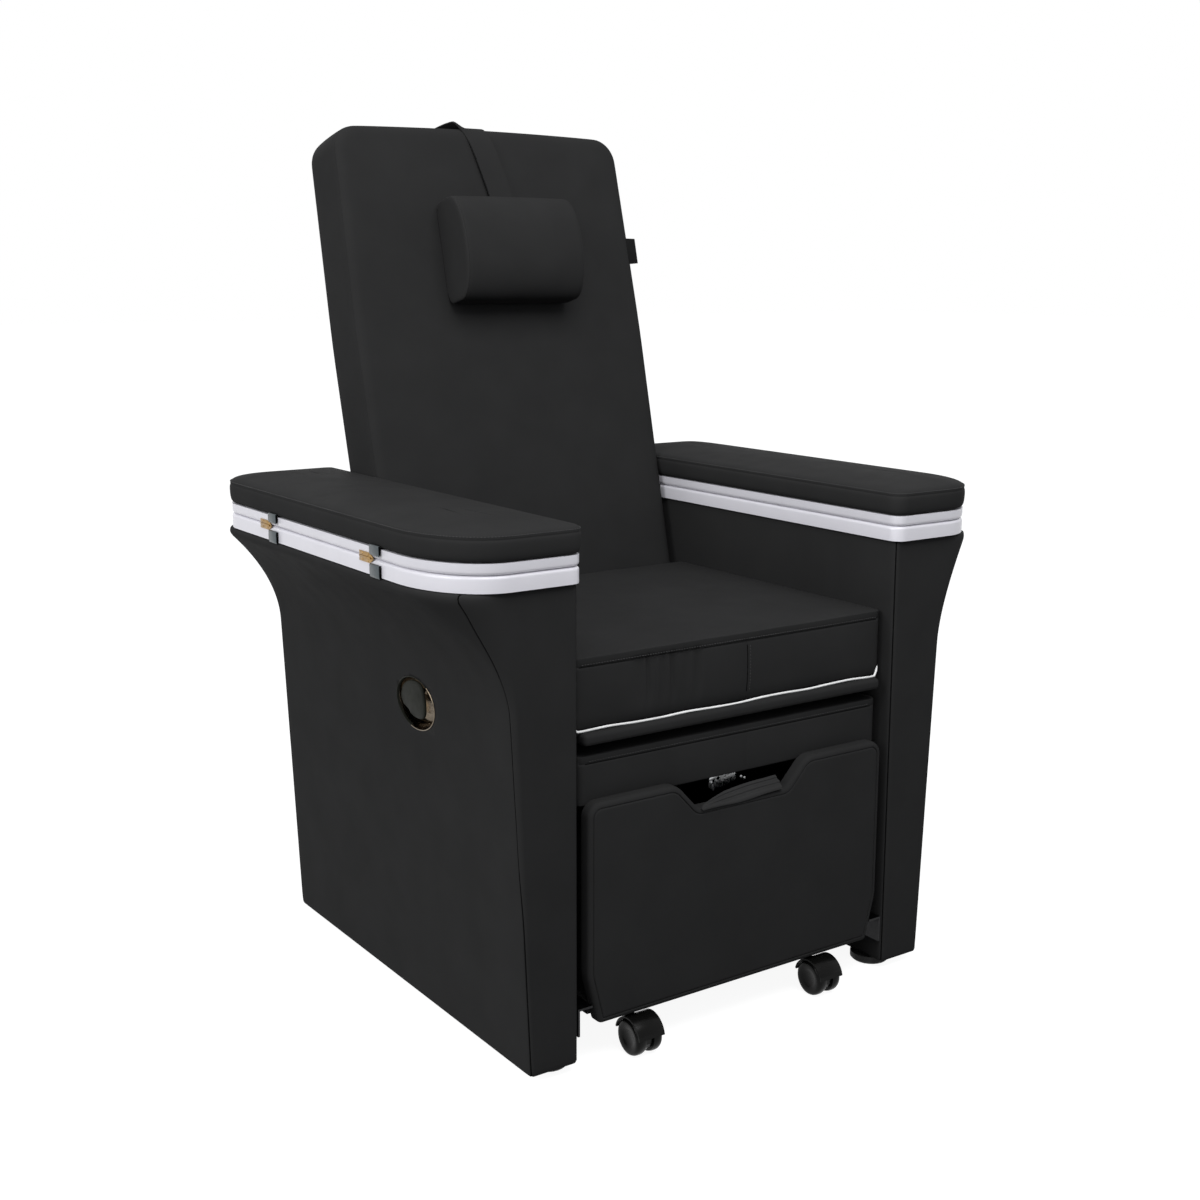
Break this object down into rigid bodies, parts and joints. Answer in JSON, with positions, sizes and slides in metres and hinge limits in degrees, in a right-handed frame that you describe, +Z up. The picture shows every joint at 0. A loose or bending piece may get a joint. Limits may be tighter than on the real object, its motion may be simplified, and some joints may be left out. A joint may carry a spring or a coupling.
{
  "type": "pedicure chair",
  "caption": "Padded pedicure chair with reclining back, headrest roll on a strap, flip-over armrests, a release lever in the arm and a foot-rest trolley on swivel casters.",
  "frame": {"origin": "on the floor below the middle of the chair's overall box", "axes": "+Z up, -Y the way the sitter faces, +X to the sitter's left; left and right in the names are as seen from the front, so left is -X"},
  "size_m": [0.924, 0.7992, 1.2359],
  "materials": {
    "black_leather": "matt black leather",
    "black_nylon": "glossy black nylon",
    "black_rubber": "matt black rubber",
    "black_steel": "satin black paint",
    "black_vinyl": "matt black upholstery vinyl with a fine grain",
    "brass": "polished brass plate",
    "bright_steel": "zinc-plated steel",
    "dark_chrome": "dark chrome",
    "plywood": "raw plywood",
    "white_lacquer": "satin white lacquer on board"
  },
  "bodies": {
    "base": {"arm_core_left": "plywood", "arm_core_right": "plywood", "arm_cover_left": "black_vinyl", "arm_cover_right": "black_vinyl", "arm_tray_left": "white_lacquer", "arm_tray_right": "white_lacquer", "base_bar": "black_steel", "bracket_lower_left_front": "bright_steel", "bracket_lower_left_rear": "bright_steel", "bracket_lower_right_front": "bright_steel", "bracket_lower_right_rear": "bright_steel", "glide_front_left": "black_rubber", "glide_front_right": "black_rubber", "glide_rear_left": "black_rubber", "glide_rear_right": "black_rubber", "guide_rail_left": "black_steel", "guide_rail_right": "black_steel", "hinge_lower_left_front": "brass", "hinge_lower_left_rear": "brass", "hinge_lower_right_front": "brass", "hinge_lower_right_rear": "brass", "pivot_tube": "black_steel", "rear_panel": "black_vinyl", "release_cable": "black_rubber", "release_cup": "dark_chrome", "seat_cushion": "black_vinyl", "seat_deck": "black_vinyl", "strut_cylinder": "black_steel"},
    "armrest_left": {"armrest_board_left": "white_lacquer", "armrest_pad_left": "black_vinyl", "bracket_upper_left_front": "bright_steel", "bracket_upper_left_rear": "bright_steel", "hinge_upper_left_front": "brass", "hinge_upper_left_rear": "brass"},
    "armrest_right": {"armrest_board_right": "white_lacquer", "armrest_pad_right": "black_vinyl", "bracket_upper_right_front": "bright_steel", "bracket_upper_right_rear": "bright_steel", "hinge_upper_right_front": "brass", "hinge_upper_right_rear": "brass"},
    "backrest": {"back_cushion": "black_vinyl", "back_frame": "plywood", "back_shell": "black_vinyl"},
    "headrest": {"headrest_pillow": "black_vinyl", "headrest_strap": "black_vinyl"},
    "strut_rod": {"strut_rod": "bright_steel"},
    "lever": {"release_lever": "dark_chrome"},
    "trolley": {"foot_pad": "black_vinyl", "trolley_box": "black_vinyl", "trolley_panel": "black_vinyl"},
    "latch": {"latch": "bright_steel", "pull_tongue": "black_leather"},
    "caster_fork_front_left": {"caster_fork_front_left": "black_nylon"},
    "caster_wheels_front_left": {"caster_wheels_front_left": "black_nylon"},
    "caster_fork_front_right": {"caster_fork_front_right": "black_nylon"},
    "caster_wheels_front_right": {"caster_wheels_front_right": "black_nylon"},
    "caster_fork_rear_left": {"caster_fork_rear_left": "black_nylon"},
    "caster_wheels_rear_left": {"caster_wheels_rear_left": "black_nylon"},
    "caster_fork_rear_right": {"caster_fork_rear_right": "black_nylon"},
    "caster_wheels_rear_right": {"caster_wheels_rear_right": "black_nylon"}
  },
  "joints": [
    {"name": "recline", "type": "hinge", "parent": "base", "child": "backrest", "pos_m": [0, 0.1772, 0.472], "axis": [-1, 0, 0], "range_deg": [0, 40]},
    {"name": "strut_slide", "type": "slide", "parent": "base", "child": "strut_rod", "axis": [0, 0.342, 0.9397], "range_m": [-0.0315, 0]},
    {"name": "release_lever_pull", "type": "hinge", "parent": "base", "child": "lever", "pos_m": [-0.35112, -0.1198, 0.46701], "axis": [0, 1, 0], "range_deg": [0, 25], "stiffness_Nm_per_rad": 0.2, "springref_deg": -8.59},
    {"name": "armrest_left_flip", "type": "hinge", "parent": "base", "child": "armrest_left", "pos_m": [-0.458, -0.0248, 0.66395], "axis": [0, -1, 0], "range_deg": [0, 180]},
    {"name": "armrest_right_flip", "type": "hinge", "parent": "base", "child": "armrest_right", "pos_m": [0.458, -0.0248, 0.66395], "axis": [0, 1, 0], "range_deg": [0, 180]},
    {"name": "headrest_slide", "type": "slide", "parent": "backrest", "child": "headrest", "axis": [0, 0.2402, 0.9707], "range_m": [-0.15, 0.08], "deforming": ["headrest_strap"]},
    {"name": "trolley_slide", "type": "slide", "parent": "base", "child": "trolley", "axis": [0, -1, 0], "range_m": [0, 0.45]},
    {"name": "latch_slide", "type": "slide", "parent": "trolley", "child": "latch", "axis": [0, -1, 0], "range_m": [0, 0.008], "stiffness_N_per_m": 400, "springref_m": -0.006},
    {"name": "swivel_front_left", "type": "hinge", "parent": "trolley", "child": "caster_fork_front_left", "pos_m": [-0.171, -0.3448, 0], "axis": [0, 0, 1], "continuous": true},
    {"name": "swivel_front_right", "type": "hinge", "parent": "trolley", "child": "caster_fork_front_right", "pos_m": [0.145, -0.3448, 0], "axis": [0, 0, 1], "continuous": true},
    {"name": "swivel_rear_left", "type": "hinge", "parent": "trolley", "child": "caster_fork_rear_left", "pos_m": [-0.171, 0.03219, 0], "axis": [0, 0, 1], "continuous": true},
    {"name": "swivel_rear_right", "type": "hinge", "parent": "trolley", "child": "caster_fork_rear_right", "pos_m": [0.145, 0.03219, 0], "axis": [0, 0, 1], "continuous": true},
    {"name": "wheels_front_left", "type": "hinge", "parent": "caster_fork_front_left", "child": "caster_wheels_front_left", "pos_m": [-0.171, -0.3718, 0.025], "axis": [1, 0, 0], "continuous": true},
    {"name": "wheels_front_right", "type": "hinge", "parent": "caster_fork_front_right", "child": "caster_wheels_front_right", "pos_m": [0.145, -0.3718, 0.025], "axis": [1, 0, 0], "continuous": true},
    {"name": "wheels_rear_left", "type": "hinge", "parent": "caster_fork_rear_left", "child": "caster_wheels_rear_left", "pos_m": [-0.171, 0.00519, 0.025], "axis": [1, 0, 0], "continuous": true},
    {"name": "wheels_rear_right", "type": "hinge", "parent": "caster_fork_rear_right", "child": "caster_wheels_rear_right", "pos_m": [0.145, 0.00519, 0.025], "axis": [1, 0, 0], "continuous": true}
  ],
  "couplings": [
    {"joint": "strut_slide", "follows": "recline", "m_per_rad": -0.0441}
  ]
}
